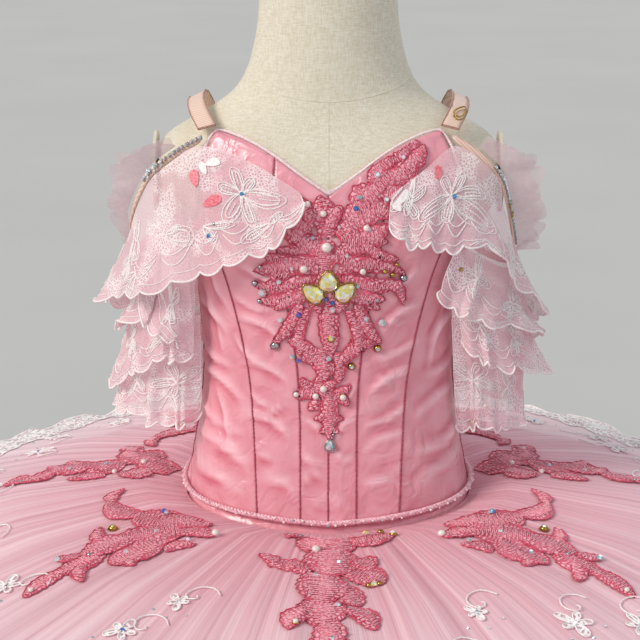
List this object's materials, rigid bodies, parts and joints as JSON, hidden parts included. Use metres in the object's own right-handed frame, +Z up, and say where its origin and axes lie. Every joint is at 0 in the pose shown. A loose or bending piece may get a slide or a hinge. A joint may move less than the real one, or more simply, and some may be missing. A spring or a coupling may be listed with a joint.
{
  "type": "ballet tutu on a dress form",
  "caption": "Child's classical ballet tutu with a boned satin bodice, lace flounce sleeves and a flat layered net skirt, standing on a limbless dress form with a round base.",
  "frame": {"origin": "centre of the stand's base, on the floor", "axes": "+Z up, -Y out of the front of the bodice, +X to the wearer's left"},
  "size_m": [0.7956, 0.8, 0.668],
  "materials": {
    "satin": "glossy pink duchess satin, softly creased",
    "tulle": "sheer pink nylon tulle in several gathered layers",
    "lace": "sheer pale pink net embroidered in white",
    "applique": "crimson corded lace with set stones and pearls",
    "elastic": "matt nude elastic",
    "piping": "pale pink satin piping and pearl braid",
    "linen": "plain cream linen",
    "wood": "satin varnished brown wood",
    "steel": "brushed steel tube"
  },
  "bodies": {
    "root": {"stand_base": "wood", "stand_pole": "steel", "form_torso": "linen", "form_neck_cap": "wood", "form_arm_plate_right": "linen", "form_arm_plate_left": "linen", "bodice_centre_front_right": "satin", "bodice_centre_front_left": "satin", "bodice_mid_front_right": "satin", "bodice_mid_front_left": "satin", "bodice_side_front_right": "satin", "bodice_side_front_left": "satin", "bodice_side_back_right": "satin", "bodice_side_back_left": "satin", "bodice_back_right": "satin", "bodice_back_left": "satin", "neckline_binding": "piping", "waist_trim": "piping", "strap_right": "elastic", "strap_left": "elastic", "back_placket": "satin", "sleeve_flounce_1_right": "lace", "sleeve_flounce_2_right": "lace", "sleeve_flounce_3_right": "lace", "sleeve_flounce_4_right": "lace", "sleeve_band_right": "elastic", "sleeve_frill_right": "tulle", "sleeve_flounce_1_left": "lace", "sleeve_flounce_2_left": "lace", "sleeve_flounce_3_left": "lace", "sleeve_flounce_4_left": "lace", "sleeve_band_left": "elastic", "sleeve_frill_left": "tulle", "skirt_top_layer": "tulle", "skirt_net_2": "tulle", "skirt_net_3": "tulle", "skirt_net_4": "tulle", "skirt_net_5": "tulle", "basque": "satin", "applique_bodice": "applique", "applique_neckline": "applique", "applique_skirt_1": "applique", "applique_skirt_2": "applique", "applique_skirt_3": "applique", "applique_skirt_4": "applique", "applique_skirt_5": "applique", "applique_skirt_6": "applique", "applique_skirt_7": "applique"}
  },
  "joints": []
}
